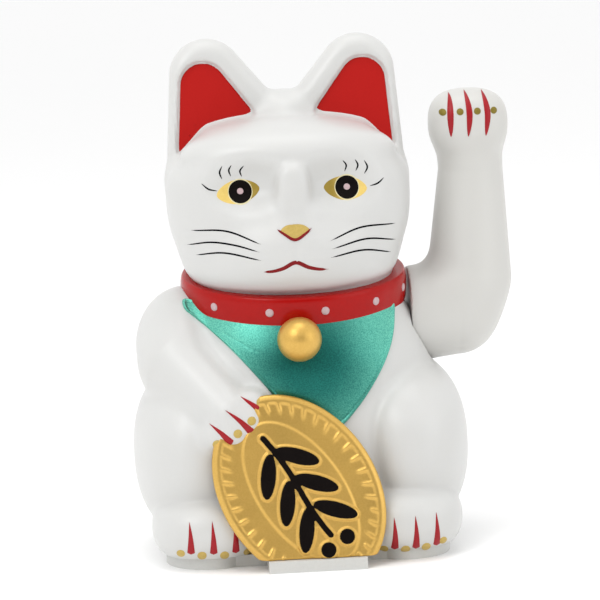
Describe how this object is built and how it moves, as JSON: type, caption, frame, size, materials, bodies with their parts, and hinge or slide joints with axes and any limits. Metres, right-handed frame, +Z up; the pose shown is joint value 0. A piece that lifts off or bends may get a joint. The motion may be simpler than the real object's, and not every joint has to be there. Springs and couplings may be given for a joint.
{
  "type": "beckoning cat figurine",
  "caption": "Seated white beckoning cat with a raised waving arm on a hidden pendulum, a red collar, bell, teal bib and gold oval coin.",
  "frame": {"origin": "middle of the cat's width on the table plane, on the flat underside of the base plate", "axes": "+Z up, -Y the way the face looks, +X the side of the raised arm (the viewer's right)"},
  "size_m": [0.1489, 0.1086, 0.193],
  "materials": {
    "white_shell": "satin white, lightly pearled",
    "red_collar": "glossy red",
    "teal_bib": "fine-grained pearl teal paint",
    "gold_bell": "satin gold paint",
    "gold_coin": "satin gold paint",
    "black_paint": "black paint",
    "base_grey": "plain off-white moulding",
    "battery_jacket": "plain printed sleeve with no marks",
    "contact_metal": "nickel-plated",
    "frame_plastic": "grey moulding",
    "steel_parts": "bright zinc",
    "copper_wire": "lacquered copper winding",
    "board_green": "solder mask",
    "chip_black": "black epoxy",
    "lead_red": "red wire sleeve",
    "magnet_metal": "plated magnet"
  },
  "bodies": {
    "figure": {"front_shell": "white_shell", "back_shell": "white_shell", "collar": "red_collar", "bib": "teal_bib", "bell": "gold_bell", "coin": "gold_coin", "coin_emblem": "black_paint", "base_plate": "base_grey", "battery": "battery_jacket", "contact_spring": "contact_metal", "contact_plate": "contact_metal", "pivot_frame": "frame_plastic", "drive_coil": "copper_wire", "coil_bobbin": "frame_plastic", "driver_board": "board_green", "driver_chip": "chip_black", "capacitor": "chip_black", "lead_positive": "lead_red", "lead_negative": "chip_black", "coil_leads": "copper_wire", "switch_body": "chip_black", "base_screws": "steel_parts", "frame_screws": "steel_parts", "board_screws": "steel_parts"},
    "waving_arm": {"arm_front": "white_shell", "arm_back": "white_shell", "arm_axle": "steel_parts", "axle_clips": "steel_parts", "pendulum_lever": "frame_plastic", "counterweight": "steel_parts", "magnet": "magnet_metal"},
    "door": {"battery_door": "base_grey"},
    "knob": {"switch_knob": "chip_black"}
  },
  "joints": [
    {"name": "arm_swing", "type": "hinge", "parent": "figure", "child": "waving_arm", "pos_m": [0.021, 0.003, 0.085], "axis": [1, 0, 0], "range_deg": [-20, 20]},
    {"name": "battery_door_hinge", "type": "hinge", "parent": "figure", "child": "door", "pos_m": [-0.027, 0.0252, 0.0015], "axis": [1, 0, 0], "range_deg": [0, 90]},
    {"name": "switch_slide", "type": "slide", "parent": "figure", "child": "knob", "axis": [1, 0, 0], "range_m": [0, 0.0025]}
  ]
}
